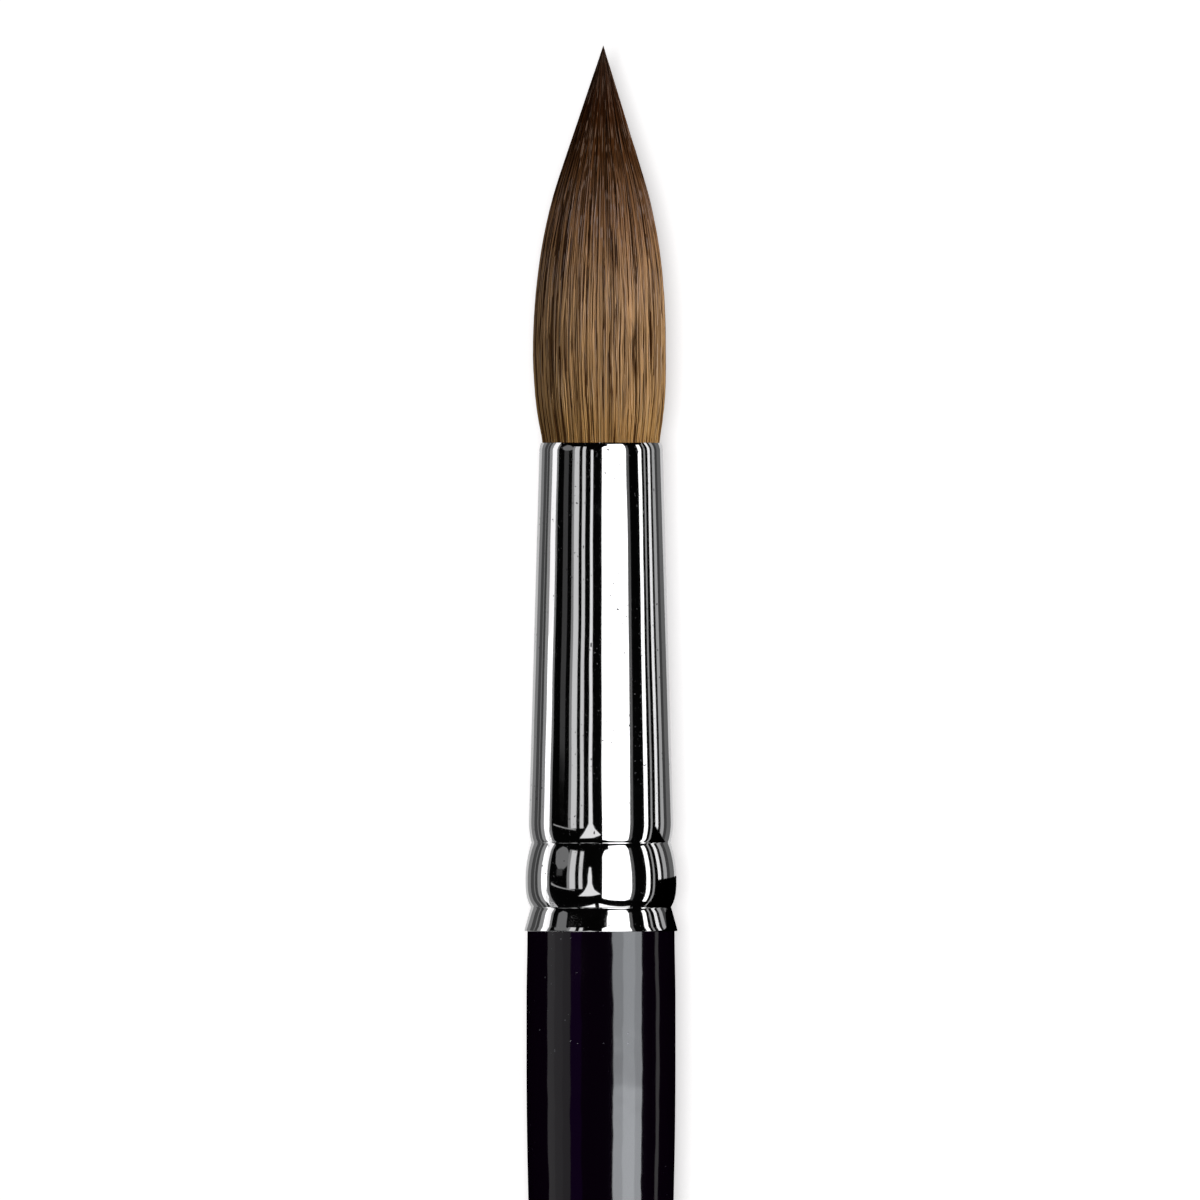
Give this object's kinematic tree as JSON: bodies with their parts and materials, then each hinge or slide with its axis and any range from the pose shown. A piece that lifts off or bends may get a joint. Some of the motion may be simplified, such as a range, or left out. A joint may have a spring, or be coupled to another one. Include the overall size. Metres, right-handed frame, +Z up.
{
  "type": "pointed round sable brush",
  "caption": "Pointed round sable lettering brush with a crimped nickel ferrule and a tapered black lacquered handle; the hair lock bends sideways.",
  "frame": {"origin": "middle of the brush's length, below its axis, on the plane that the ferrule's flared rim touches when the axis is level", "axes": "+X along the brush's axis towards the hair's tip, +Z up, +Y to the side"},
  "size_m": [0.228, 0.0134, 0.0134],
  "materials": {
    "ferrule_nickel": "bright nickel plate on a drawn tube",
    "handle_wood": "plain turned hardwood",
    "handle_lacquer": "black gloss lacquer",
    "resin": "cured amber resin",
    "thread": "waxed linen thread",
    "hair": "sable hair, golden brown at the root and dark at the tip"
  },
  "bodies": {
    "root": {"ferrule": "ferrule_nickel", "handle_core": "handle_wood", "handle_lacquer": "handle_lacquer", "tenon_glue": "resin", "root_glue_plug": "resin", "root_thread": "thread", "tuft_root": "hair", "tuft_base": "hair"},
    "tuft_lower": {"tuft_belly": "hair"},
    "tuft_middle": {"tuft_shoulder": "hair"},
    "tuft_upper": {"tuft_point": "hair"}
  },
  "joints": [
    {"name": "tuft_bend_lower", "type": "hinge", "parent": "root", "child": "tuft_lower", "pos_m": [0.0852, 0, 0.00669], "axis": [0, 0, 1], "range_deg": [-10, 10], "stiffness_Nm_per_rad": 0.02},
    {"name": "tuft_bend_middle", "type": "hinge", "parent": "tuft_lower", "child": "tuft_middle", "pos_m": [0.0932, 0, 0.00669], "axis": [0, 0, 1], "range_deg": [-17, 17], "stiffness_Nm_per_rad": 0.006},
    {"name": "tuft_bend_upper", "type": "hinge", "parent": "tuft_middle", "child": "tuft_upper", "pos_m": [0.1027, 0, 0.00669], "axis": [0, 0, 1], "range_deg": [-23, 23], "stiffness_Nm_per_rad": 0.0015}
  ],
  "couplings": [
    {"joint": "tuft_bend_middle", "follows": "tuft_bend_lower", "ratio": 1.7},
    {"joint": "tuft_bend_upper", "follows": "tuft_bend_lower", "ratio": 2.3}
  ]
}
